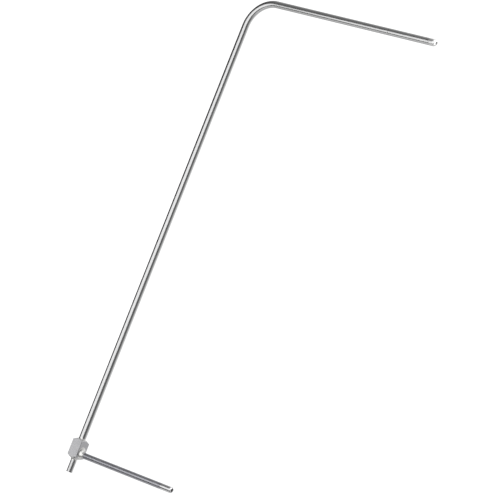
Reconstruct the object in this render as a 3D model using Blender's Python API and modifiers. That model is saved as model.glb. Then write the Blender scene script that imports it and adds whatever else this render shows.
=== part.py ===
"""Pitot-static tube, L type: a probe that measures air speed in a duct.

The probe lies flat. +X is the way the head and the static port point, +Y runs up the stem from the block
to the bend, and +Z is up. The origin is on the block's underside, below the point where the stem's axis
and the static port's axis cross. Lengths are in metres.
"""

import math

import bmesh
import bpy
from mathutils import Matrix, Vector

MM = 0.001

# Probe
PROBE_DIAMETER = 7.0 * MM
PROBE_WALL = 0.5 * MM
HEAD_AXIS_HEIGHT = 480.0 * MM  # from the static port's axis to the head's axis
HEAD_REACH = 225.0 * MM  # from the stem's axis to the nose tip
BEND_RADIUS = 4 * PROBE_DIAMETER  # of the tube's centre line
STATIC_HOLE_DIAMETER = 0.8 * MM
STATIC_HOLE_PAIRS = 4
STATIC_HOLES_FROM_TIP = 8 * PROBE_DIAMETER

# Nose
NOSE_LENGTH = 7.0 * MM
NOSE_SHANK = 6.0 * MM
NOSE_HOLE_DIAMETER = 2.8 * MM

# Inner total-pressure tube
INNER_DIAMETER = 4.0 * MM
INNER_WALL = 0.5 * MM

# Manifold block
BLOCK_SIDE = 12.0 * MM
BLOCK_ABOVE_PORT = 14.2 * MM
BLOCK_BELOW_PORT = 5.7 * MM
BLOCK_END_CIRCLE = 4.6 * MM  # radius that the turned chamfer leaves flat at each end
BLOCK_CHAMFER_ANGLE = math.radians(30)
BLOCK_EDGE = 0.25 * MM
STEM_SOCKET_DEPTH = 6.0 * MM
STATIC_SOCKET_DEPTH = 2.4 * MM
TOTAL_SOCKET_DEPTH = 2.9 * MM
SEAL_WALL = 1.0 * MM
CHAMBER_DIAMETER = 6.0 * MM

# Ports
PORT_DIAMETER = 6.0 * MM
PORT_BORE = 3.6 * MM
STATIC_PORT_REACH = 126.0 * MM  # from the stem's axis
TOTAL_PORT_REACH = 20.0 * MM  # below the static port's axis
STATIC_END_TAPER = 2.0 * MM  # length of the rounded lead-in for a hose
STATIC_END_DROP = 0.9 * MM  # how far the lead-in draws the radius in
TOTAL_END_CHAMFER = 0.3 * MM

# Braze and spacers
FILLET_HEIGHT = 1.1 * MM
FILLET_WIDTH = 0.9 * MM
STATIC_FILLET_HEIGHT = 4.6 * MM
STATIC_FILLET_WIDTH = 1.6 * MM
NOSE_BRAZE_WIDTH = 0.5 * MM
SEAL_BRAZE_HEIGHT = 0.7 * MM
SPACER_LENGTH = 4.0 * MM
HEAD_SPACER_PLACE = 0.55  # share of the head's reach
UPPER_SPACER_PLACE = 0.86  # shares of the head axis's height
LOWER_SPACER_PLACE = 0.40
SPACER_FLUTES = 3
FLUTE_RADIUS = 1.2 * MM

GAP = 0.25 * MM  # left between neighbouring pieces
OVERCUT = 1.0 * MM  # how far a cutter runs past what it cuts

AROUND = 32  # sides of a round piece
CHAMFER_AROUND = 64
BLOCK_EDGE_SEGMENTS = 2
BEND_STEPS = 14
ROUND_STEPS = 8
MERGE = 0.00001
SHARP_ANGLE = math.radians(40)

AXIS_HEIGHT = BLOCK_SIDE / 2
PROBE_RADIUS = PROBE_DIAMETER / 2
PROBE_BORE_RADIUS = PROBE_RADIUS - PROBE_WALL
INNER_RADIUS = INNER_DIAMETER / 2
PORT_RADIUS = PORT_DIAMETER / 2
PORT_BORE_RADIUS = PORT_BORE / 2
SEAL_WALL_TOP = -BLOCK_BELOW_PORT + TOTAL_SOCKET_DEPTH + SEAL_WALL

TOWARDS_X = (0.0, math.radians(90), 0.0)
TOWARDS_Y = (math.radians(-90), 0.0, 0.0)


# Scene and materials


def clear_scene():
    for old in list(bpy.data.objects):
        bpy.data.objects.remove(old, do_unlink=True)


def new_collection(name):
    made = bpy.data.collections.new(name)
    bpy.context.scene.collection.children.link(made)
    return made


def metal(name, colour, roughness):
    made = bpy.data.materials.new(name)
    made.use_nodes = True
    shader = made.node_tree.nodes["Principled BSDF"]
    shader.inputs["Base Color"].default_value = (*colour, 1.0)
    shader.inputs["Metallic"].default_value = 1.0
    shader.inputs["Roughness"].default_value = roughness
    made.diffuse_color = (*colour, 1.0)
    return made


def new_empty(name, location, parent=None):
    made = bpy.data.objects.new(name, None)
    made.empty_display_size = BLOCK_SIDE
    made.location = location
    made.parent = parent
    parts.objects.link(made)
    return made


# Shape tools


def add_object(name, mesh, collection, material=None):
    made = bpy.data.objects.new(name, mesh)
    collection.objects.link(made)
    if material:
        mesh.materials.append(material)
    return made


def as_cutter(obj):
    obj.hide_render = True
    obj.display_type = "WIRE"
    return obj


def turned(name, profile, collection, material=None, closed=True, around=AROUND):
    """A piece turned about its local Z. The profile holds (radius, height) points, outer side downwards."""
    mesh = bpy.data.meshes.new(name)
    corners = [(radius, 0.0, height) for radius, height in profile]
    links = [(i, i + 1) for i in range(len(corners) - 1)]
    if closed:
        links.append((len(corners) - 1, 0))
    mesh.from_pydata(corners, links, [])
    made = add_object(name, mesh, collection, material)
    screw = made.modifiers.new("Turn", "SCREW")
    screw.axis = "Z"
    screw.steps = screw.render_steps = around
    screw.use_merge_vertices = True
    screw.merge_threshold = MERGE
    screw.use_smooth_shade = True
    return made


def ring_profile(inner, outer, low, high):
    return [(outer, high), (outer, low), (inner, low), (inner, high)]


def cylinder_cutter(name, radius, start, end, twist=0.0):
    """A drill between two points, given in the parent's frame. twist turns its sides about its axis."""
    start, end = Vector(start), Vector(end)
    along = end - start
    mesh = bpy.data.meshes.new(name)
    shape = bmesh.new()
    bmesh.ops.create_cone(
        shape,
        cap_ends=True,
        segments=AROUND,
        radius1=radius,
        radius2=radius,
        depth=along.length,
        matrix=Matrix.Rotation(twist, 4, "Z"),
    )
    shape.to_mesh(mesh)
    shape.free()
    made = as_cutter(add_object(name, mesh, cutters))
    made.location = (start + end) / 2
    made.rotation_euler = along.to_track_quat("Z", "Y").to_euler()
    return made


def boolean(obj, cutter, operation="DIFFERENCE"):
    modifier = obj.modifiers.new(cutter.name, "BOOLEAN")
    modifier.object = cutter
    modifier.operation = operation
    modifier.solver = "EXACT"


def smooth(obj):
    obj.data.shade_smooth()
    obj.data.set_sharp_from_angle(angle=SHARP_ANGLE)


def probe_route(start, end):
    """Centre line of the probe from a height on the stem, round the bend, to a distance along the head."""
    points = [Vector((0.0, start, 0.0))]
    for step in range(BEND_STEPS + 1):
        angle = math.radians(180 - 90 * step / BEND_STEPS)
        across = BEND_RADIUS * (1 + math.cos(angle))
        up = HEAD_AXIS_HEIGHT - BEND_RADIUS * (1 - math.sin(angle))
        points.append(Vector((across, up, 0.0)))
    points.append(Vector((end, HEAD_AXIS_HEIGHT, 0.0)))
    return points


def bent_tube(name, points, radius, wall, material):
    """A tube along the points: a curve with an open bevel, made a mesh and thickened inwards."""
    path = bpy.data.curves.new(name + "_path", "CURVE")
    path.dimensions = "3D"
    path.bevel_depth = radius
    path.bevel_resolution = AROUND // 2 - 2
    spline = path.splines.new("POLY")
    spline.points.add(len(points) - 1)
    for slot, point in zip(spline.points, points):
        slot.co = (*point, 1.0)
    guide = bpy.data.objects.new(name + "_path", path)
    parts.objects.link(guide)
    graph = bpy.context.evaluated_depsgraph_get()
    mesh = bpy.data.meshes.new_from_object(guide.evaluated_get(graph))
    shape = bmesh.new()
    shape.from_mesh(mesh)
    bmesh.ops.remove_doubles(shape, verts=shape.verts, dist=MERGE)
    bmesh.ops.recalc_face_normals(shape, faces=shape.faces)
    shape.to_mesh(mesh)
    shape.free()
    mesh.name = name
    made = add_object(name, mesh, parts, material)
    made.matrix_world = guide.matrix_world
    bpy.data.objects.remove(guide, do_unlink=True)
    bpy.data.curves.remove(path)
    smooth(made)
    shell = made.modifiers.new("Wall", "SOLIDIFY")
    shell.thickness = wall
    shell.offset = -1.0
    shell.use_even_offset = True
    return made


# Pieces


def make_outer_tube():
    end = HEAD_REACH - NOSE_LENGTH - 2 * GAP - NOSE_BRAZE_WIDTH
    start = BLOCK_ABOVE_PORT - STEM_SOCKET_DEPTH + GAP
    tube = bent_tube("outer_tube", probe_route(start, end), PROBE_RADIUS, PROBE_WALL, drawn_steel)
    tube.parent = crossing
    hole_x = HEAD_REACH - STATIC_HOLES_FROM_TIP
    reach = PROBE_RADIUS + OVERCUT
    for pair in range(STATIC_HOLE_PAIRS):
        angle = math.pi * (pair + 0.5) / STATIC_HOLE_PAIRS
        side = Vector((0.0, math.cos(angle), math.sin(angle))) * reach
        middle = Vector((hole_x, HEAD_AXIS_HEIGHT, 0.0))
        drill = cylinder_cutter(
            f"static_hole_drill_{pair + 1}",
            STATIC_HOLE_DIAMETER / 2,
            middle - side,
            middle + side,
            twist=math.pi / AROUND,
        )
        drill.parent = crossing
        boolean(tube, drill)
    return tube


def make_total_pressure_tube():
    start = SEAL_WALL_TOP - SEAL_WALL + GAP
    end = HEAD_REACH - NOSE_LENGTH
    tube = bent_tube("total_pressure_tube", probe_route(start, end), INNER_RADIUS, INNER_WALL, drawn_steel)
    tube.parent = crossing
    return tube


def make_nose_piece():
    """Hemispherical tip with the total-pressure hole, a collar as wide as the probe, and a shank."""
    hole = NOSE_HOLE_DIAMETER / 2
    first = math.asin(hole / PROBE_RADIUS)
    dome_base = -PROBE_RADIUS
    profile = []
    for step in range(ROUND_STEPS + 1):
        angle = first + (math.pi / 2 - first) * step / ROUND_STEPS
        profile.append((PROBE_RADIUS * math.sin(angle), dome_base + PROBE_RADIUS * math.cos(angle)))
    socket = INNER_RADIUS + GAP
    shank = PROBE_BORE_RADIUS - GAP
    shoulder = -NOSE_LENGTH
    profile += [
        (PROBE_RADIUS, shoulder),
        (shank, shoulder),
        (shank, shoulder - NOSE_SHANK),
        (socket, shoulder - NOSE_SHANK),
        (socket, shoulder + GAP),
        (hole, shoulder + GAP),
    ]
    nose = turned("nose_piece", profile, parts, turned_steel)
    nose.rotation_euler = TOWARDS_X
    nose.location = (HEAD_REACH, 0.0, 0.0)
    nose.parent = head_line
    return nose


def make_nose_braze_ring():
    low = -NOSE_LENGTH - GAP - NOSE_BRAZE_WIDTH
    profile = ring_profile(PROBE_BORE_RADIUS, PROBE_RADIUS, low, low + NOSE_BRAZE_WIDTH)
    ring = turned("nose_braze_ring", profile, parts, silver_braze)
    ring.rotation_euler = TOWARDS_X
    ring.location = (HEAD_REACH, 0.0, 0.0)
    ring.parent = head_line
    return ring


def make_spacer(name, location, rotation, parent):
    """A collar on the inner tube, with flutes that let the static pressure past."""
    half = SPACER_LENGTH / 2
    profile = ring_profile(INNER_RADIUS + GAP / 2, PROBE_BORE_RADIUS - GAP / 2, -half, half)
    spacer = turned(name, profile, parts, turned_steel)
    spacer.location = location
    spacer.rotation_euler = rotation
    spacer.parent = parent
    for flute in range(SPACER_FLUTES):
        angle = 2 * math.pi * flute / SPACER_FLUTES
        side = Vector((math.cos(angle), math.sin(angle), 0.0)) * (PROBE_BORE_RADIUS + FLUTE_RADIUS / 2)
        ends = Vector((0.0, 0.0, half + OVERCUT))
        cutter = cylinder_cutter(f"{name}_flute_{flute + 1}", FLUTE_RADIUS, side - ends, side + ends)
        cutter.parent = spacer
        boolean(spacer, cutter)
    return spacer


def make_manifold_block():
    """Square bar, turned to a chamfer at both ends, with the stem, static and total bores drilled in it."""
    length = BLOCK_ABOVE_PORT + BLOCK_BELOW_PORT
    middle = (BLOCK_ABOVE_PORT - BLOCK_BELOW_PORT) / 2
    mesh = bpy.data.meshes.new("manifold_block")
    shape = bmesh.new()
    bmesh.ops.create_cube(shape, size=1.0)
    bmesh.ops.scale(shape, vec=(BLOCK_SIDE, length, BLOCK_SIDE), verts=shape.verts)
    bmesh.ops.translate(shape, vec=(0.0, middle, 0.0), verts=shape.verts)
    shape.to_mesh(mesh)
    shape.free()
    block = add_object("manifold_block", mesh, parts, brushed_steel)
    block.parent = crossing
    bevel = block.modifiers.new("Edges", "BEVEL")
    bevel.width = BLOCK_EDGE
    bevel.segments = BLOCK_EDGE_SEGMENTS

    widest = BLOCK_SIDE / math.sqrt(2) + OVERCUT
    rise = (widest - BLOCK_END_CIRCLE) * math.tan(BLOCK_CHAMFER_ANGLE)
    half = length / 2
    outline = [
        (0.0, half),
        (BLOCK_END_CIRCLE, half),
        (widest, half - rise),
        (widest, rise - half),
        (BLOCK_END_CIRCLE, -half),
        (0.0, -half),
    ]
    envelope = as_cutter(
        turned("block_turned_outline", outline, cutters, closed=False, around=CHAMFER_AROUND)
    )
    envelope.rotation_euler = TOWARDS_Y
    envelope.location = (0.0, middle, 0.0)
    envelope.parent = crossing
    boolean(block, envelope, "INTERSECT")

    socket_floor = BLOCK_ABOVE_PORT - STEM_SOCKET_DEPTH
    total_floor = -BLOCK_BELOW_PORT + TOTAL_SOCKET_DEPTH
    drills = [
        ("stem_socket", PROBE_RADIUS + GAP, (0, socket_floor, 0), (0, BLOCK_ABOVE_PORT + OVERCUT, 0)),
        ("static_chamber", CHAMBER_DIAMETER / 2, (0, SEAL_WALL_TOP, 0), (0, socket_floor + OVERCUT, 0)),
        ("seal_hole", INNER_RADIUS + GAP, (0, total_floor - OVERCUT, 0), (0, SEAL_WALL_TOP + OVERCUT, 0)),
        ("total_socket", PORT_RADIUS + GAP, (0, -BLOCK_BELOW_PORT - OVERCUT, 0), (0, total_floor, 0)),
        ("static_passage", PORT_BORE_RADIUS, (0, 0, 0), (BLOCK_SIDE / 2, 0, 0)),
        (
            "static_socket",
            PORT_RADIUS + GAP,
            (BLOCK_SIDE / 2 - STATIC_SOCKET_DEPTH, 0, 0),
            (BLOCK_SIDE / 2 + OVERCUT, 0, 0),
        ),
    ]
    for name, radius, start, end in drills:
        drill = cylinder_cutter(name + "_drill", radius, start, end)
        drill.parent = crossing
        boolean(block, drill)
    return block


def make_static_port_tube():
    start = BLOCK_SIDE / 2 - STATIC_SOCKET_DEPTH + GAP
    profile = []
    for step in range(ROUND_STEPS + 1):
        angle = math.pi / 2 * step / ROUND_STEPS
        radius = PORT_RADIUS - STATIC_END_DROP * (1 - math.sin(angle))
        height = STATIC_PORT_REACH - STATIC_END_TAPER * (1 - math.cos(angle))
        profile.append((radius, height))
    profile += [(PORT_RADIUS, start), (PORT_BORE_RADIUS, start), (PORT_BORE_RADIUS, STATIC_PORT_REACH)]
    tube = turned("static_port_tube", profile, parts, drawn_steel)
    tube.rotation_euler = TOWARDS_X
    tube.parent = crossing
    return tube


def make_total_port_tube():
    top = -BLOCK_BELOW_PORT + TOTAL_SOCKET_DEPTH - GAP
    end = -TOTAL_PORT_REACH
    profile = [
        (PORT_RADIUS, top),
        (PORT_RADIUS, end + TOTAL_END_CHAMFER),
        (PORT_RADIUS - TOTAL_END_CHAMFER, end),
        (PORT_BORE_RADIUS, end),
        (PORT_BORE_RADIUS, top),
    ]
    tube = turned("total_port_tube", profile, parts, drawn_steel)
    tube.rotation_euler = TOWARDS_Y
    tube.parent = crossing
    return tube


def make_fillet(
    name, tube_radius, base, rotation, width=FILLET_WIDTH, rise=FILLET_HEIGHT, direction=1
):
    """A hollow-faced braze ring round a tube, standing on the block's face at a height along the tube."""
    inner = tube_radius + GAP
    outer = inner + width
    foot = base + direction * GAP
    profile = [(inner, foot + direction * rise)]
    for step in range(ROUND_STEPS + 1):
        angle = math.pi / 2 * step / ROUND_STEPS
        radius = outer - (width - GAP / 2) * math.cos(angle)
        height = rise - (rise - GAP / 2) * math.sin(angle)
        profile.append((radius, foot + direction * height))
    profile += [(outer, foot), (inner, foot)]
    if direction < 0:
        profile.reverse()
    ring = turned(name, profile, parts, silver_braze)
    ring.rotation_euler = rotation
    ring.parent = crossing
    return ring


def make_seal_braze_ring():
    inner = INNER_RADIUS + GAP
    outer = CHAMBER_DIAMETER / 2 - GAP / 2
    low = SEAL_WALL_TOP + GAP
    ring = turned(
        "seal_braze_ring", ring_profile(inner, outer, low, low + SEAL_BRAZE_HEIGHT), parts, silver_braze
    )
    ring.rotation_euler = TOWARDS_Y
    ring.parent = crossing
    return ring


clear_scene()
parts = new_collection("pitot_static_tube")
cutters = new_collection("cutters")

drawn_steel = metal("drawn_stainless_tube", (0.60, 0.60, 0.61), 0.22)
turned_steel = metal("turned_stainless", (0.66, 0.66, 0.66), 0.18)
brushed_steel = metal("brushed_stainless_block", (0.52, 0.52, 0.54), 0.38)
silver_braze = metal("silver_braze", (0.72, 0.70, 0.64), 0.30)

crossing = new_empty("port_crossing", (0.0, 0.0, AXIS_HEIGHT))
head_line = new_empty("head_line", (0.0, HEAD_AXIS_HEIGHT, 0.0), crossing)

make_outer_tube()
make_total_pressure_tube()
make_nose_piece()
make_nose_braze_ring()
make_spacer("head_spacer", (HEAD_REACH * HEAD_SPACER_PLACE, 0.0, 0.0), TOWARDS_X, head_line)
make_spacer("upper_stem_spacer", (0.0, HEAD_AXIS_HEIGHT * UPPER_SPACER_PLACE, 0.0), TOWARDS_Y, crossing)
make_spacer("lower_stem_spacer", (0.0, HEAD_AXIS_HEIGHT * LOWER_SPACER_PLACE, 0.0), TOWARDS_Y, crossing)
make_manifold_block()
make_static_port_tube()
make_total_port_tube()
make_fillet("stem_braze_ring", PROBE_RADIUS, BLOCK_ABOVE_PORT, TOWARDS_Y)
make_fillet(
    "static_port_braze_ring",
    PORT_RADIUS,
    BLOCK_SIDE / 2,
    TOWARDS_X,
    width=STATIC_FILLET_WIDTH,
    rise=STATIC_FILLET_HEIGHT,
)
make_fillet("total_port_braze_ring", PORT_RADIUS, -BLOCK_BELOW_PORT, TOWARDS_Y, direction=-1)
make_seal_braze_ring()
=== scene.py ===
import math

import bmesh
import bpy
import numpy as np
from mathutils import Matrix, Quaternion, Vector


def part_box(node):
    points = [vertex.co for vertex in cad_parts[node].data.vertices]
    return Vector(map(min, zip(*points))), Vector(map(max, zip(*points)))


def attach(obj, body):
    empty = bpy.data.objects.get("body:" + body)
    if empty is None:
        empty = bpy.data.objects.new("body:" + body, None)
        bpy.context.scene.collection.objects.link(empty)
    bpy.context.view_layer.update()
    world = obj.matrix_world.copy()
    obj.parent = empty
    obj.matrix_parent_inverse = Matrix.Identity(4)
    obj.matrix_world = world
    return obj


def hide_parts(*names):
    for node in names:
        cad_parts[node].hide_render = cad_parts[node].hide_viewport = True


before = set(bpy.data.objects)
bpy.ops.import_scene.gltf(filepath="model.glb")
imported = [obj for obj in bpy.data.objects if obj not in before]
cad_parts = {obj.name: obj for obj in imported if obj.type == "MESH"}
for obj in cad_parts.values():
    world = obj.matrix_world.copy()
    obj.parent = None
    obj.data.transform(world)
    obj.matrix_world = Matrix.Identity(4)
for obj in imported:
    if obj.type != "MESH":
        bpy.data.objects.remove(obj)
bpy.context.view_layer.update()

MM = 0.001
BODY = "root"

# Sizes that the CAD nodes' boxes give

tube_low, tube_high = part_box("outer_tube")
nose_low, nose_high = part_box("nose_piece")
block_low, block_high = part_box("manifold_block")
static_low, static_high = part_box("static_port_tube")
total_low, total_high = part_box("total_port_tube")

PROBE_RADIUS = (tube_high.z - tube_low.z) / 2
PORT_RADIUS = (static_high.z - static_low.z) / 2
AXIS_Z = (tube_high.z + tube_low.z) / 2
HEAD_Y = tube_high.y - PROBE_RADIUS
HEAD_END = tube_high.x
STEM_START = tube_low.y
BLOCK_TOP = block_high.y
BLOCK_BOTTOM = block_low.y
BLOCK_SIDE = block_high.x - block_low.x
BLOCK_FACE = block_high.x
STATIC_END = static_high.x
TOTAL_END = total_low.y

# Sizes that the boxes can't give, as in the CAD model

PROBE_WALL = 0.5 * MM
BEND_RADIUS = 8 * PROBE_RADIUS
STATIC_HOLE_RADIUS = 0.4 * MM
STATIC_HOLES = 8
STATIC_HOLES_FROM_TIP = 16 * PROBE_RADIUS
NOSE_HOLE_RADIUS = 1.4 * MM
PORT_BORE_RADIUS = 1.8 * MM
STATIC_END_TAPER = 2.0 * MM  # length of the rounded lead-in for a hose
STATIC_END_DROP = 0.9 * MM  # how far the lead-in draws the radius in
BLOCK_END_CIRCLE = 4.6 * MM  # radius that the turned chamfer leaves flat at each end
CHAMFER_SLOPE = math.tan(math.radians(30))
CHAMBER_RADIUS = 3.0 * MM
SEAL_HOLE_RADIUS = 2.25 * MM
SEAL_WALL_TOP = -1.8 * MM

# The nose is a dome that its hole cuts short. This is where the whole dome would end.
NOSE_TIP = nose_high.x + PROBE_RADIUS - math.sqrt(PROBE_RADIUS**2 - NOSE_HOLE_RADIUS**2)
DOME_TIP = (NOSE_TIP, HEAD_Y, AXIS_Z)

CROSSING = (0.0, 0.0, AXIS_Z)  # where the stem's and the static port's axes meet

OVERCUT = 1.0 * MM  # how far a cutter runs past what it cuts
AROUND = 96  # sides of a round piece
BLOCK_AROUND = 160
BLOCK_HOLE_AROUND = 64


# Mesh tools


def finish_mesh(name, mesh, materials, sharp=35):
    """Makes an object of the mesh, smooth except where it turns by more than sharp degrees."""
    mesh.name = name
    for material in materials:
        mesh.materials.append(material)
    mesh.shade_smooth()
    mesh.set_sharp_from_angle(angle=math.radians(sharp))
    made = bpy.data.objects.new(name, mesh)
    bpy.context.scene.collection.objects.link(made)
    return made


def arc(centre, radius, start, end, steps):
    """Points of an arc in (radius, along) space, angles in degrees from the radial direction."""
    turns = [math.radians(start + (end - start) * i / steps) for i in range(steps + 1)]
    return [(centre[0] + radius * math.cos(a), centre[1] + radius * math.sin(a)) for a in turns]


def turned_mesh(profile, origin, axis, around=AROUND, wobble=None):
    """A closed turned mesh. The profile's (radius, along) points go round the section once."""
    axis = Vector(axis)
    side = Vector((0.0, 0.0, 1.0))
    other = axis.cross(side)
    shape = bmesh.new()
    rings = []
    for k in range(around):
        angle = 2 * math.pi * k / around
        out = side * math.cos(angle) + other * math.sin(angle)
        ring = []
        for i, (radius, along) in enumerate(profile):
            if wobble:
                radius, along = wobble(i, angle, radius, along)
            ring.append(shape.verts.new(Vector(origin) + axis * along + out * radius))
        rings.append(ring)
    count = len(profile)
    for k in range(around):
        here, there = rings[k], rings[(k + 1) % around]
        for i in range(count):
            j = (i + 1) % count
            shape.faces.new((here[i], there[i], there[j], here[j]))
    bmesh.ops.recalc_face_normals(shape, faces=shape.faces)
    mesh = bpy.data.meshes.new("turned")
    shape.to_mesh(mesh)
    shape.free()
    return mesh


def cylinder_mesh(radius, start, end, around=32):
    """A solid cylinder between two points, to cut with."""
    start, end = Vector(start), Vector(end)
    along = end - start
    turn = along.to_track_quat("Z", "Y").to_matrix().to_4x4()
    shape = bmesh.new()
    bmesh.ops.create_cone(
        shape,
        cap_ends=True,
        segments=around,
        radius1=radius,
        radius2=radius,
        depth=along.length,
        matrix=Matrix.Translation((start + end) / 2) @ turn,
    )
    mesh = bpy.data.meshes.new("cutter")
    shape.to_mesh(mesh)
    shape.free()
    return mesh


def carve(mesh, cutters, operation="DIFFERENCE"):
    """The mesh after an exact Boolean with each of the cutter meshes."""
    body = bpy.data.objects.new("carved", mesh)
    bpy.context.scene.collection.objects.link(body)
    helpers = []
    for cutter in cutters:
        helper = bpy.data.objects.new("cutter", cutter)
        bpy.context.scene.collection.objects.link(helper)
        helpers.append(helper)
        cut = body.modifiers.new("Cut", "BOOLEAN")
        cut.object = helper
        cut.operation = operation
        cut.solver = "EXACT"
    graph = bpy.context.evaluated_depsgraph_get()
    result = bpy.data.meshes.new_from_object(body.evaluated_get(graph))
    for helper in helpers + [body]:
        bpy.data.objects.remove(helper, do_unlink=True)
    return result


# The bent tube


STEM_STRAIGHT = HEAD_Y - BEND_RADIUS
BEND_LENGTH = BEND_RADIUS * math.pi / 2
BEND_END = STEM_STRAIGHT + BEND_LENGTH


def centre_line(along):
    """Point and direction of the probe's centre line at a length measured from the static port's axis."""
    if along <= STEM_STRAIGHT:
        return Vector((0.0, along, AXIS_Z)), Vector((0.0, 1.0, 0.0))
    turned = (along - STEM_STRAIGHT) / BEND_RADIUS
    if turned < math.pi / 2:
        x = BEND_RADIUS * (1 - math.cos(turned))
        y = STEM_STRAIGHT + BEND_RADIUS * math.sin(turned)
        return Vector((x, y, AXIS_Z)), Vector((math.sin(turned), math.cos(turned), 0.0))
    x = BEND_RADIUS + along - STEM_STRAIGHT - BEND_LENGTH
    return Vector((x, HEAD_Y, AXIS_Z)), Vector((1.0, 0.0, 0.0))


def length_at(x):
    """Length along the centre line of a point on the straight head."""
    return BEND_END + x - BEND_RADIUS


def unrolled(point):
    """(cosine, sine, length) of a point near the probe's wall, for grain that follows the bend."""
    if point.y <= STEM_STRAIGHT:
        along, outwards = point.y, -point.x
    elif point.x < BEND_RADIUS:
        from_centre = Vector((BEND_RADIUS - point.x, point.y - STEM_STRAIGHT))
        along = STEM_STRAIGHT + BEND_RADIUS * math.atan2(from_centre.y, from_centre.x)
        outwards = from_centre.length - BEND_RADIUS
    else:
        along, outwards = length_at(point.x), point.y - HEAD_Y
    angle = math.atan2(point.z - AXIS_Z, outwards)
    return math.cos(angle), math.sin(angle), along


def swept_mesh(stations, outer, inner, edge):
    """A tube through the stations, with a small chamfer on both ends' outer edge."""
    first, last = stations[0], stations[-1]
    outside = [(first, outer - edge), (first + edge, outer)]
    outside += [(s, outer) for s in stations[1:-1]]
    outside += [(last - edge, outer), (last, outer - edge)]
    inside = [(s, inner) for s in reversed(stations)]
    side = Vector((0.0, 0.0, 1.0))
    shape = bmesh.new()
    rings = []
    for along, radius in outside + inside:
        point, direction = centre_line(along)
        other = direction.cross(side)
        ring = []
        for k in range(AROUND):
            angle = 2 * math.pi * k / AROUND
            out = side * math.cos(angle) + other * math.sin(angle)
            ring.append(shape.verts.new(point + out * radius))
        rings.append(ring)
    for i in range(len(rings)):
        here, there = rings[i], rings[(i + 1) % len(rings)]
        for k in range(AROUND):
            m = (k + 1) % AROUND
            shape.faces.new((here[k], here[m], there[m], there[k]))
    bmesh.ops.recalc_face_normals(shape, faces=shape.faces)
    mesh = bpy.data.meshes.new("swept")
    shape.to_mesh(mesh)
    shape.free()
    return mesh


def add_grain_coordinates(mesh):
    """Stores where each point lies round and along the probe, scaled so that 1 is 1 mm."""
    grain = mesh.attributes.new("grain", "FLOAT_VECTOR", "POINT")
    values = np.empty((len(mesh.vertices), 3), np.float32)
    radius = PROBE_RADIUS / MM
    for i, vertex in enumerate(mesh.vertices):
        cosine, sine, along = unrolled(vertex.co)
        values[i] = (radius * cosine, radius * sine, along / MM)
    grain.data.foreach_set("vector", values.ravel())


def make_outer_tube():
    """Stem, bend and head in one tube, with a ring of static holes through the head's wall."""
    holes_at = length_at(NOSE_TIP - STATIC_HOLES_FROM_TIP)
    near_holes = 3 * MM
    spans = [
        (BLOCK_TOP, STEM_STRAIGHT, 23),
        (STEM_STRAIGHT, BEND_END, 48),
        (BEND_END, holes_at - near_holes, 7),
        (holes_at - near_holes, holes_at + near_holes, 8),
        (holes_at + near_holes, length_at(HEAD_END), 3),
    ]
    stations = [STEM_START, BLOCK_TOP]
    for start, end, steps in spans:
        stations += list(np.linspace(start, end, steps + 1)[1:])
    end_chamfer = 0.06 * MM
    mesh = swept_mesh(stations, PROBE_RADIUS, PROBE_RADIUS - PROBE_WALL, end_chamfer)
    centre, _ = centre_line(holes_at)
    drills = []
    for k in range(STATIC_HOLES // 2):
        angle = 2 * math.pi * (k + 0.5) / STATIC_HOLES
        reach = Vector((0.0, math.cos(angle), math.sin(angle))) * (PROBE_RADIUS + OVERCUT)
        drills.append(cylinder_mesh(STATIC_HOLE_RADIUS, centre - reach, centre + reach))
    mesh = carve(mesh, drills)
    add_grain_coordinates(mesh)
    tube = finish_mesh("probe_tube", mesh, [drawn_tube])
    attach(tube, BODY)
    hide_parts("outer_tube")
    return tube


# Turned pieces


def use_hole_material(piece, axis_at, radius):
    """Gives the faces inside a hole along X the second material."""
    for polygon in piece.data.polygons:
        centre = polygon.center
        if math.hypot(centre.y - axis_at[0], centre.z - axis_at[1]) < radius:
            polygon.material_index = 1


def make_nose():
    """Rounded tip, total-pressure hole with a broken edge, collar, and shank inside the head."""
    r = PROBE_RADIUS
    hole = NOSE_HOLE_RADIUS
    break_edge = 0.15 * MM
    joint_gap = 0.02 * MM
    collar_chamfer = 0.08 * MM
    shank_clearance = 0.05 * MM
    start = math.degrees(math.acos((hole + break_edge) / r))
    profile = [(hole, -break_edge * 2 - (r - math.sqrt(r * r - hole * hole)))]
    profile += arc((0.0, -r), r, start, 0.0, 32)
    shoulder = HEAD_END + joint_gap - NOSE_TIP
    shank = r - PROBE_WALL - shank_clearance
    back = nose_low.x - NOSE_TIP
    socket = hole + 0.85 * MM
    socket_floor = shoulder - 0.5 * MM
    profile += [
        (r, shoulder + collar_chamfer),
        (r - collar_chamfer, shoulder),
        (shank, shoulder),
        (shank, back),
        (socket, back),
        (socket, socket_floor),
        (hole, socket_floor),
    ]
    mesh = turned_mesh(profile, DOME_TIP, (1, 0, 0))
    nose = finish_mesh("nose_tip", mesh, [turned_steel, drilled_hole])
    use_hole_material(nose, (HEAD_Y, AXIS_Z), hole + break_edge / 2)
    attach(nose, BODY)
    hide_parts("nose_piece", "nose_braze_ring")
    return nose


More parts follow.
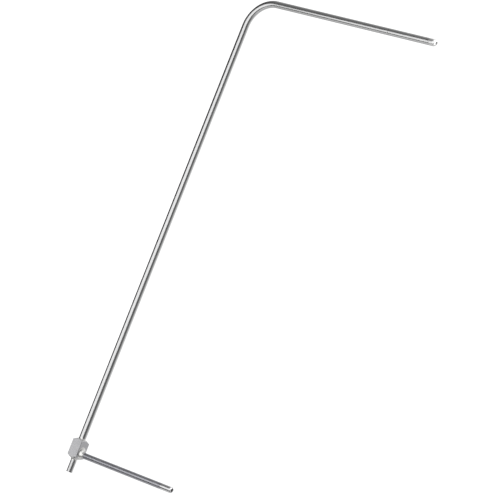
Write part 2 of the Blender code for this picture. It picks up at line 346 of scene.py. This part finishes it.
def make_static_port():
    """Side tube with a rounded lead-in at its open end."""
    steps = 24
    taper = []
    for i in range(steps + 1):
        angle = math.pi / 2 * i / steps
        radius = PORT_RADIUS - STATIC_END_DROP * (1 - math.sin(angle))
        taper.append((radius, STATIC_END - STATIC_END_TAPER * (1 - math.cos(angle))))
    bore = PORT_BORE_RADIUS
    bore_chamfer = 0.12 * MM
    hole_margin = 0.05 * MM
    start = static_low.x
    profile = [(bore + bore_chamfer, STATIC_END)] + taper
    profile += [(PORT_RADIUS, start), (bore, start), (bore, STATIC_END - bore_chamfer)]
    mesh = turned_mesh(profile, CROSSING, (1, 0, 0))
    tube = finish_mesh("static_pressure_port", mesh, [port_tube_x, drilled_hole])
    use_hole_material(tube, (0.0, AXIS_Z), bore + hole_margin)
    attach(tube, BODY)
    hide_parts("static_port_tube")
    return tube


def make_total_port():
    """Short cut-off tube below the block, in line with the stem."""
    bore = PORT_BORE_RADIUS
    top = total_high.y
    edge_radius = 0.2 * MM
    bore_chamfer = 0.12 * MM
    profile = [(PORT_RADIUS, top)]
    profile += arc((PORT_RADIUS - edge_radius, TOTAL_END + edge_radius), edge_radius, 0, -90, 6)
    profile += [(bore + bore_chamfer, TOTAL_END), (bore, TOTAL_END + bore_chamfer), (bore, top)]
    mesh = turned_mesh(profile, CROSSING, (0, 1, 0))
    tube = finish_mesh("total_pressure_port", mesh, [port_tube_y])
    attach(tube, BODY)
    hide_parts("total_port_tube")
    return tube


FILLET_STEPS = 14
FILLET_SUNK = 0.06 * MM  # how far a fillet's hidden faces run into the tube and the block
FILLET_EDGE_WAVE = 0.06
FILLET_RISE_WAVE = 0.10
POOL_FALLOFF = 1.6


def make_fillet(name, node, axis, base, direction, tube_radius, width, height, seed, pool=0.0):
    """A braze fillet: a hollow face from the block up the tube, slightly uneven round its edge.

    pool is how much further it has run over the block's face on the side towards the stem.
    """
    phase = np.random.default_rng(seed).uniform(0, 2 * math.pi, 4)
    hidden_radius = tube_radius - FILLET_SUNK
    profile = [(hidden_radius, -FILLET_SUNK), (hidden_radius, height)]
    for i in range(FILLET_STEPS + 1):
        angle = math.pi / 2 * i / FILLET_STEPS
        radius = tube_radius + width - width * math.cos(angle)
        profile.append((radius, height - height * math.sin(angle)))
    profile.append((tube_radius + width, -FILLET_SUNK))
    last = len(profile) - 1

    def wobble(i, angle, radius, along):
        wave = 0.0
        for k, shift in enumerate(phase):
            wave += math.sin((k + 2) * angle + shift) / (k + 2)
        towards_stem = max(0.0, -math.sin(angle))
        swell = 1 + FILLET_EDGE_WAVE * wave + pool * towards_stem**POOL_FALLOFF
        if i >= 1:
            radius = hidden_radius + (radius - hidden_radius) * swell
        if 1 <= i < last:
            along = along * (1 + FILLET_RISE_WAVE * wave * math.cos(angle + phase[0]))
        return radius, direction * along

    origin = Vector(CROSSING) + Vector(axis) * base
    mesh = turned_mesh(profile, origin, axis, wobble=wobble)
    fillet = finish_mesh(name, mesh, [silver_braze], sharp=50)
    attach(fillet, BODY)
    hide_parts(node)
    return fillet


# The block


BAR_CORNER = 0.3 * MM
END_SOFTENING = 0.25 * MM  # half the width of the shallow band between end circle and chamfer
SOCKET_CLEARANCE = 0.08 * MM
SOCKET_EXTRA_DEPTH = MM / 4


def make_bar(middle, length):
    """Square bar along Y with a narrow flat on each of its four long edges."""
    shape = bmesh.new()
    bmesh.ops.create_cube(shape, size=1.0)
    bmesh.ops.scale(shape, vec=(BLOCK_SIDE, length, BLOCK_SIDE), verts=shape.verts)
    long_edges = [e for e in shape.edges if abs(e.verts[0].co.y - e.verts[1].co.y) > length / 2]
    bmesh.ops.bevel(
        shape, geom=long_edges, offset=BAR_CORNER, segments=1, profile=0.5, affect="EDGES"
    )
    bmesh.ops.translate(shape, vec=middle, verts=shape.verts)
    bar = bpy.data.meshes.new("bar")
    shape.to_mesh(bar)
    shape.free()
    return bar


def make_turning_envelope(middle, length):
    """Turned solid that leaves the bar its end chamfers. It is wider than the bar's corners."""
    half = length / 2
    widest = BLOCK_SIDE * 0.75
    on_axis = 0.0001 * MM
    rise = (widest - BLOCK_END_CIRCLE) * CHAMFER_SLOPE
    upper = [
        (on_axis, half),
        (BLOCK_END_CIRCLE - END_SOFTENING, half),
        (BLOCK_END_CIRCLE + END_SOFTENING, half - END_SOFTENING * CHAMFER_SLOPE),
        (widest, half - rise),
    ]
    lower = [(radius, -along) for radius, along in reversed(upper)]
    return turned_mesh(upper + lower, middle, (0, 1, 0), around=BLOCK_AROUND)


def block_hole(radius, direction, start, end):
    """Cutter along a direction, between two distances from where the axes cross."""
    first, last = (Vector(CROSSING) + Vector(direction) * distance for distance in (start, end))
    return cylinder_mesh(radius, first, last, BLOCK_HOLE_AROUND)


def make_block():
    """Square bar with turned chamfers at both ends, drilled from three sides."""
    length = BLOCK_TOP - BLOCK_BOTTOM
    middle = Vector((0.0, (BLOCK_TOP + BLOCK_BOTTOM) / 2, AXIS_Z))
    block = carve(make_bar(middle, length), [make_turning_envelope(middle, length)], "INTERSECT")

    along_stem = (0, 1, 0)
    along_port = (1, 0, 0)
    stem_socket = STEM_START - SOCKET_EXTRA_DEPTH
    total_socket = total_high.y + SOCKET_EXTRA_DEPTH
    static_socket = static_low.x - SOCKET_EXTRA_DEPTH
    below_seal = -4 * MM
    drills = [
        block_hole(PROBE_RADIUS + SOCKET_CLEARANCE, along_stem, stem_socket, BLOCK_TOP + OVERCUT),
        block_hole(CHAMBER_RADIUS, along_stem, SEAL_WALL_TOP, STEM_START + OVERCUT),
        block_hole(SEAL_HOLE_RADIUS, along_stem, below_seal, 0.0),
        block_hole(PORT_RADIUS + SOCKET_CLEARANCE, along_stem, BLOCK_BOTTOM - OVERCUT, total_socket),
        block_hole(PORT_BORE_RADIUS, along_port, 0.0, BLOCK_FACE),
        block_hole(PORT_RADIUS + SOCKET_CLEARANCE, along_port, static_socket, BLOCK_FACE + OVERCUT),
    ]
    block = carve(block, drills)
    made = finish_mesh("junction_block", block, [brushed_block, turned_chamfer], sharp=25)

    # The bar's flat sides are brushed. Its ends, its chamfers and the holes along Y are turned.
    bored_radius = BLOCK_END_CIRCLE - 0.5 * MM
    side_tilt = 0.05
    for polygon in made.data.polygons:
        centre = polygon.center - middle
        on_side = abs(polygon.normal.y) < side_tilt
        inside = math.hypot(centre.x, centre.z) < bored_radius
        polygon.material_index = 0 if on_side and not inside else 1
    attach(made, BODY)
    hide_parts("manifold_block")
    return made


# Materials


NOISE_ROUGHNESS = 0.55
GRAIN_HEIGHT = 0.02 * MM
BRAZE_LUMP_HEIGHT = 0.05 * MM


class Graph:
    """A short way to write a material's nodes."""

    def __init__(self, tree):
        self.tree = tree

    def node(self, kind, **settings):
        made = self.tree.nodes.new(kind)
        for key, value in settings.items():
            setattr(made, key, value)
        return made

    def set(self, socket, value):
        if isinstance(value, bpy.types.NodeSocket):
            self.tree.links.new(value, socket)
        else:
            socket.default_value = value

    def math(self, operation, a, b=0.0):
        made = self.node("ShaderNodeMath", operation=operation)
        self.set(made.inputs[0], a)
        self.set(made.inputs[1], b)
        return made.outputs[0]

    def scaled(self, vector, scale):
        made = self.node("ShaderNodeVectorMath", operation="MULTIPLY")
        self.set(made.inputs[0], vector)
        made.inputs[1].default_value = scale
        return made.outputs[0]

    def product(self, vector, number):
        made = self.node("ShaderNodeVectorMath", operation="SCALE")
        self.set(made.inputs[0], vector)
        self.set(made.inputs["Scale"], number)
        return made.outputs[0]

    def noise(self, vector, scale, detail):
        made = self.node("ShaderNodeTexNoise")
        self.set(made.inputs["Vector"], vector)
        made.inputs["Scale"].default_value = scale
        made.inputs["Detail"].default_value = detail
        made.inputs["Roughness"].default_value = NOISE_ROUGHNESS
        return made.outputs["Fac"]

    def mapped(self, value, low, high, to_low, to_high):
        made = self.node("ShaderNodeMapRange")
        self.set(made.inputs["Value"], value)
        limits = {"From Min": low, "From Max": high, "To Min": to_low, "To Max": to_high}
        for name, number in limits.items():
            made.inputs[name].default_value = number
        return made.outputs["Result"]

    def mixed(self, factor, a, b):
        made = self.node("ShaderNodeMix", data_type="RGBA")
        self.set(made.inputs[0], factor)
        self.set(made.inputs[6], (*a, 1.0) if isinstance(a, tuple) else a)
        self.set(made.inputs[7], (*b, 1.0) if isinstance(b, tuple) else b)
        return made.outputs[2]

    def bump(self, height, strength, distance):
        made = self.node("ShaderNodeBump")
        self.set(made.inputs["Height"], height)
        made.inputs["Strength"].default_value = strength
        made.inputs["Distance"].default_value = distance
        return made.outputs["Normal"]


def grey(level):
    return (level, level, level)


def new_metal(name):
    material = bpy.data.materials.new(name)
    material.use_nodes = True
    shader = material.node_tree.nodes["Principled BSDF"]
    shader.inputs["Metallic"].default_value = 1.0
    return material, Graph(material.node_tree), shader


def along_probe(graph):
    """Millimetres round and along the bent tube."""
    return graph.node("ShaderNodeAttribute", attribute_name="grain").outputs["Vector"]


def object_millimetres(graph):
    """Millimetres in the object's own space."""
    return graph.scaled(graph.node("ShaderNodeTexCoord").outputs["Object"], (1 / MM, 1 / MM, 1 / MM))


def grain_metal(name, millimetres, stretch, light, dark, rough, depth):
    """Steel with a grain that runs one way. stretch shrinks the pattern's scale along the grain."""
    material, graph, shader = new_metal(name)
    position = millimetres(graph)
    fine = graph.noise(graph.scaled(position, stretch), scale=9.0, detail=4.0)
    broad = graph.noise(graph.scaled(position, stretch), scale=1.6, detail=2.0)
    clouds = graph.noise(position, scale=0.11, detail=3.0)
    tone = graph.math("ADD", graph.math("MULTIPLY", broad, 0.55), graph.math("MULTIPLY", clouds, 0.45))
    colour = graph.mixed(graph.mapped(tone, 0.3, 0.7, 0.0, 1.0), dark, light)
    graph.set(shader.inputs["Base Color"], colour)
    roughness = graph.mapped(graph.math("ADD", fine, clouds), 0.7, 1.3, *rough)
    graph.set(shader.inputs["Roughness"], roughness)
    graph.set(shader.inputs["Normal"], graph.bump(fine, depth, GRAIN_HEIGHT))
    return material


def smooth_end_with_painted_light(material, start, finish, colour, roughness):
    """Makes a grained metal smoother and changes its colour beyond a distance along X.

    The lighter colour there is painted light on the tube's end, and the roughness drops there too. The
    change runs from start to finish.
    """
    graph = Graph(material.node_tree)
    shader = material.node_tree.nodes["Principled BSDF"]
    parts = graph.node("ShaderNodeSeparateXYZ")
    graph.set(parts.inputs[0], object_millimetres(graph))
    share = graph.mapped(parts.outputs[0], start / MM, finish / MM, 0.0, 1.0)
    plain = shader.inputs["Base Color"].links[0].from_socket
    graph.set(shader.inputs["Base Color"], graph.mixed(share, plain, colour))
    rough = shader.inputs["Roughness"].links[0].from_socket
    less = graph.math("MULTIPLY", share, graph.math("SUBTRACT", rough, roughness))
    graph.set(shader.inputs["Roughness"], graph.math("SUBTRACT", rough, less))


def make_braze_material():
    """Silver braze: lumpy, a little warm, with fine grit in its gloss."""
    material, graph, shader = new_metal("silver_braze")
    position = object_millimetres(graph)
    lumps = graph.noise(position, scale=1.3, detail=3.0)
    grit = graph.noise(position, scale=7.0, detail=3.0)
    share = graph.mapped(lumps, 0.35, 0.65, 0.0, 1.0)
    graph.set(shader.inputs["Base Color"], graph.mixed(share, (0.78, 0.775, 0.76), (0.92, 0.915, 0.90)))
    graph.set(shader.inputs["Roughness"], graph.mapped(grit, 0.3, 0.7, 0.24, 0.42))
    bump = graph.bump(graph.math("ADD", lumps, grit), 0.5, BRAZE_LUMP_HEIGHT)
    graph.set(shader.inputs["Normal"], bump)
    return material


def make_turned_material(name, axis, centre, light, dark, rough):
    """Steel with turning marks: fine rings that follow the radius and the length.

    axis is 0 for rings about X and 1 for rings about Y.
    """
    material, graph, shader = new_metal(name)
    place = graph.node("ShaderNodeVectorMath", operation="SUBTRACT")
    graph.set(place.inputs[0], object_millimetres(graph))
    place.inputs[1].default_value = tuple(value / MM for value in centre)
    parts = graph.node("ShaderNodeSeparateXYZ")
    graph.set(parts.inputs[0], place.outputs[0])
    along = parts.outputs[axis]
    flat = graph.scaled(place.outputs[0], tuple(0.0 if i == axis else 1.0 for i in range(3)))
    radius = graph.node("ShaderNodeVectorMath", operation="LENGTH")
    graph.set(radius.inputs[0], flat)
    joined = graph.node("ShaderNodeCombineXYZ")
    graph.set(joined.inputs[0], radius.outputs["Value"])
    graph.set(joined.inputs[1], along)
    rings = graph.noise(joined.outputs[0], scale=7.0, detail=3.0)
    clouds = graph.noise(place.outputs[0], scale=0.5, detail=2.0)
    share = graph.mapped(graph.math("ADD", rings, clouds), 0.7, 1.3, 0.0, 1.0)
    graph.set(shader.inputs["Base Color"], graph.mixed(share, dark, light))
    graph.set(shader.inputs["Roughness"], graph.mapped(rings, 0.3, 0.7, *rough))
    graph.set(shader.inputs["Normal"], graph.bump(rings, 0.35, GRAIN_HEIGHT))
    return material


DRAWN_STRETCH = 0.012
BRUSHED_STRETCH = 0.03

drawn_tube = grain_metal(
    "drawn_tube",
    along_probe,
    stretch=(1.0, 1.0, DRAWN_STRETCH),
    light=grey(0.70),
    dark=(0.60, 0.60, 0.605),
    rough=(0.15, 0.24),
    depth=0.25,
)
port_tube_x = grain_metal(
    "port_tube_x",
    object_millimetres,
    stretch=(DRAWN_STRETCH, 1.0, 1.0),
    light=(0.50, 0.50, 0.535),
    dark=(0.40, 0.40, 0.435),
    rough=(0.24, 0.34),
    depth=0.3,
)
# The port's last 12 mm are painted lighter, as painted light on its open end, and made smoother.
smooth_end_with_painted_light(
    port_tube_x,
    start=STATIC_END - 14 * MM,
    finish=STATIC_END - 12 * MM,
    colour=(0.70, 0.70, 0.71),
    roughness=0.16,
)
port_tube_y = grain_metal(
    "port_tube_y",
    object_millimetres,
    stretch=(1.0, DRAWN_STRETCH, 1.0),
    light=grey(0.66),
    dark=(0.54, 0.54, 0.55),
    rough=(0.2, 0.3),
    depth=0.3,
)
brushed_block = grain_metal(
    "brushed_block",
    object_millimetres,
    stretch=(1.0, BRUSHED_STRETCH, 1.0),
    light=(0.575, 0.575, 0.592),
    dark=(0.47, 0.47, 0.483),
    rough=(0.24, 0.38),
    depth=0.35,
)
turned_steel = make_turned_material(
    "turned_steel", 0, DOME_TIP, light=grey(0.86), dark=grey(0.74), rough=(0.28, 0.38)
)
turned_chamfer = make_turned_material(
    "turned_chamfer", 1, CROSSING, light=grey(0.84), dark=grey(0.70), rough=(0.26, 0.40)
)
silver_braze = make_braze_material()
drilled_hole = make_turned_material(
    "drilled_hole", 0, DOME_TIP, light=grey(0.62), dark=grey(0.50), rough=(0.5, 0.7)
)


# Assembly


def finish_node(node, material):
    """Gives a CAD node that is kept as it is a better material."""
    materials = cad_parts[node].data.materials
    materials.clear()
    materials.append(material)


make_outer_tube()
nose = make_nose()
make_block()
static_port = make_static_port()
make_total_port()
make_fillet(
    "stem_braze",
    "stem_braze_ring",
    axis=(0, 1, 0),
    base=BLOCK_TOP,
    direction=1,
    tube_radius=PROBE_RADIUS,
    width=0.6 * MM,
    height=1.2 * MM,
    seed=3,
)
make_fillet(
    "static_port_braze",
    "static_port_braze_ring",
    axis=(1, 0, 0),
    base=BLOCK_FACE,
    direction=1,
    tube_radius=PORT_RADIUS,
    width=1.7 * MM,
    height=4.8 * MM,
    seed=5,
    pool=1.5,
)
make_fillet(
    "total_port_braze",
    "total_port_braze_ring",
    axis=(0, 1, 0),
    base=BLOCK_BOTTOM,
    direction=-1,
    tube_radius=PORT_RADIUS,
    width=1.1 * MM,
    height=2.2 * MM,
    seed=7,
)

finish_node("total_pressure_tube", port_tube_x)
for spacer in ("head_spacer", "upper_stem_spacer", "lower_stem_spacer"):
    finish_node(spacer, turned_steel)
finish_node("seal_braze_ring", silver_braze)


# Studio: floor, surroundings, lights and camera


FLOOR_RADIUS = 6.0
FLOOR_PLACE = (0.1, 0.24, -0.0002)
FLOOR_GLOW = 0.97

# How bright the room is at heights from -1, straight down, to 1, straight up
ROOM_LEVELS = [
    (-1.0, 0.95),
    (-0.9, 0.85),
    (-0.7, 0.66),
    (-0.4, 0.42),
    (-0.1, 0.18),
    (0.4, 0.13),
    (1.0, 0.16),
]
SOUTH_GLOW = 0.72
NORTH_GLOW = 0.12
FAR_NORTH_GLOW = 0.8
WEST_SHADE = 0.3

SOFTBOX_PLACE = (0.045, 0.225, 0.8)
SOFTBOX_LENGTH = 1.04
SOFTBOX_WIDTH = 1.7
SOFTBOX_LEVEL = 1.1
SOFTBOX_TURN = -45.0
FILL_LEVEL = 1.6
FILL_HEIGHT = 0.10
END_FILL_PLACE = (0.90, 0.24, FILL_HEIGHT)
END_FILL_SIDE = 1.2
SIDE_FILL_PLACE = (0.85, 0.95, FILL_HEIGHT)
SIDE_FILL_SIDE = 1.1

CAMERA_AIM = (0.10773, 0.24069, AXIS_Z)
CAMERA_DISTANCE = 2.66
CAMERA_AZIMUTH = 81.87
CAMERA_ELEVATION = 51.73
CAMERA_ROLL = -62.17
CAMERA_LENS = 200.0


def make_floor():
    """White paper that glows, so that it stays plain. The metal doesn't see it."""
    mesh = bpy.data.meshes.new("floor")
    shape = bmesh.new()
    bmesh.ops.create_circle(shape, cap_ends=True, segments=96, radius=FLOOR_RADIUS)
    shape.to_mesh(mesh)
    shape.free()
    material = bpy.data.materials.new("floor_paper")
    material.use_nodes = True
    shader = material.node_tree.nodes["Principled BSDF"]
    shader.inputs["Base Color"].default_value = (0.3, 0.3, 0.3, 1.0)
    shader.inputs["Roughness"].default_value = 0.9
    shader.inputs["Specular IOR Level"].default_value = 0.1
    shader.inputs["Emission Color"].default_value = (1.0, 1.0, 1.0, 1.0)
    shader.inputs["Emission Strength"].default_value = FLOOR_GLOW
    mesh.materials.append(material)
    floor = bpy.data.objects.new("floor", mesh)
    floor.location = FLOOR_PLACE
    floor.visible_glossy = False
    bpy.context.scene.collection.objects.link(floor)


def make_surroundings():
    """The room as the metal sees it: pale below, dim at the sides and above.

    It glows towards the south, -Y, near the horizon, and towards the north, +Y. The west, -X, is dimmer.
    """
    world = bpy.data.worlds.new("studio")
    world.use_nodes = True
    bpy.context.scene.world = world
    graph = Graph(world.node_tree)
    background = world.node_tree.nodes["Background"]
    direction = graph.node("ShaderNodeTexCoord").outputs["Generated"]
    parts = graph.node("ShaderNodeSeparateXYZ")
    graph.set(parts.inputs[0], direction)
    east, north, up = parts.outputs
    ramp = graph.node("ShaderNodeValToRGB")
    graph.set(ramp.inputs[0], graph.mapped(up, -1.0, 1.0, 0.0, 1.0))
    elements = ramp.color_ramp.elements
    while len(elements) < len(ROOM_LEVELS):
        elements.new(0.5)
    for element, (height, level) in zip(elements, ROOM_LEVELS):
        element.position = (height + 1) / 2
        element.color = (*grey(level), 1.0)
    south = graph.math("MULTIPLY", north, -1.0)
    from_horizon = graph.math("ABSOLUTE", up)
    southern = graph.mapped(south, 0.3, 0.8, 0.0, SOUTH_GLOW)
    glow = graph.math("MULTIPLY", southern, graph.mapped(from_horizon, 0.1, 0.4, 1.0, 0.0))
    glow = graph.math("ADD", glow, graph.mapped(north, 0.4, 0.8, 0.0, NORTH_GLOW))
    glow = graph.math("ADD", glow, graph.mapped(north, 0.8, 0.9, 0.0, FAR_NORTH_GLOW))
    west = graph.math("MULTIPLY", east, -1.0)
    shade = graph.mapped(west, 0.62, 0.8, 1.0, WEST_SHADE)
    total = graph.node("ShaderNodeMix", data_type="RGBA", blend_type="ADD")
    total.inputs[0].default_value = 1.0
    graph.set(total.inputs[6], graph.product(ramp.outputs[0], shade))
    graph.set(total.inputs[7], glow)
    graph.set(background.inputs["Color"], total.outputs[2])
    background.inputs["Strength"].default_value = 1.0


def make_panel(name, place, target, length, width, level, turn=0.0):
    """A soft rectangular light that faces a point, as bright in the metal's reflections as its level.

    turn is how many degrees it is turned about the line to that point.
    """
    light = bpy.data.lights.new(name, "AREA")
    light.shape = "RECTANGLE"
    light.size = length
    light.size_y = width
    light.energy = level * math.pi * length * width
    made = bpy.data.objects.new(name, light)
    made.location = place
    facing = (Vector(target) - Vector(place)).to_track_quat("-Z", "Y")
    made.rotation_euler = (facing @ Quaternion((0.0, 0.0, 1.0), math.radians(turn))).to_euler()
    made.visible_camera = False
    bpy.context.scene.collection.objects.link(made)
    return made


def light_only(light, *pieces):
    """Makes a light reach these pieces alone, like a small card held up to each of them."""
    lit = bpy.data.collections.new(light.name + "_pieces")
    for piece in pieces:
        lit.objects.link(piece)
    light.light_linking.receiver_collection = lit


def make_lights():
    """A soft box overhead, and two fills for the nose and the static port."""
    make_panel(
        "softbox",
        SOFTBOX_PLACE,
        (SOFTBOX_PLACE[0], SOFTBOX_PLACE[1], 0.0),
        SOFTBOX_LENGTH,
        SOFTBOX_WIDTH,
        SOFTBOX_LEVEL,
        SOFTBOX_TURN,
    )
    westward = (0.0, END_FILL_PLACE[1], FILL_HEIGHT)
    southward = (SIDE_FILL_PLACE[0], 0.0, FILL_HEIGHT)
    end_fill = make_panel("end_fill", END_FILL_PLACE, westward, END_FILL_SIDE, END_FILL_SIDE, FILL_LEVEL)
    light_only(end_fill, nose, static_port)
    side_fill = make_panel(
        "side_fill", SIDE_FILL_PLACE, southward, SIDE_FILL_SIDE, SIDE_FILL_SIDE, FILL_LEVEL
    )
    light_only(side_fill, nose, static_port)


def make_camera():
    """A long lens from above, on the side that the head points to. Its roll makes the stem lean."""
    aim = Vector(CAMERA_AIM)
    azimuth, elevation, roll = (
        math.radians(degrees) for degrees in (CAMERA_AZIMUTH, CAMERA_ELEVATION, CAMERA_ROLL)
    )
    level = math.cos(elevation)
    away = Vector((math.sin(azimuth) * level, -math.cos(azimuth) * level, math.sin(elevation)))
    data = bpy.data.cameras.new("camera")
    data.lens = CAMERA_LENS
    data.sensor_width = 36.0
    data.clip_start = 0.1
    camera = bpy.data.objects.new("camera", data)
    turn = (-away).to_track_quat("-Z", "Y").to_matrix().to_4x4() @ Matrix.Rotation(roll, 4, "Z")
    camera.matrix_world = Matrix.Translation(aim + away * CAMERA_DISTANCE) @ turn
    bpy.context.scene.collection.objects.link(camera)
    bpy.context.scene.camera = camera


make_floor()
make_surroundings()
make_lights()
make_camera()
bpy.context.scene.view_settings.view_transform = "Standard"
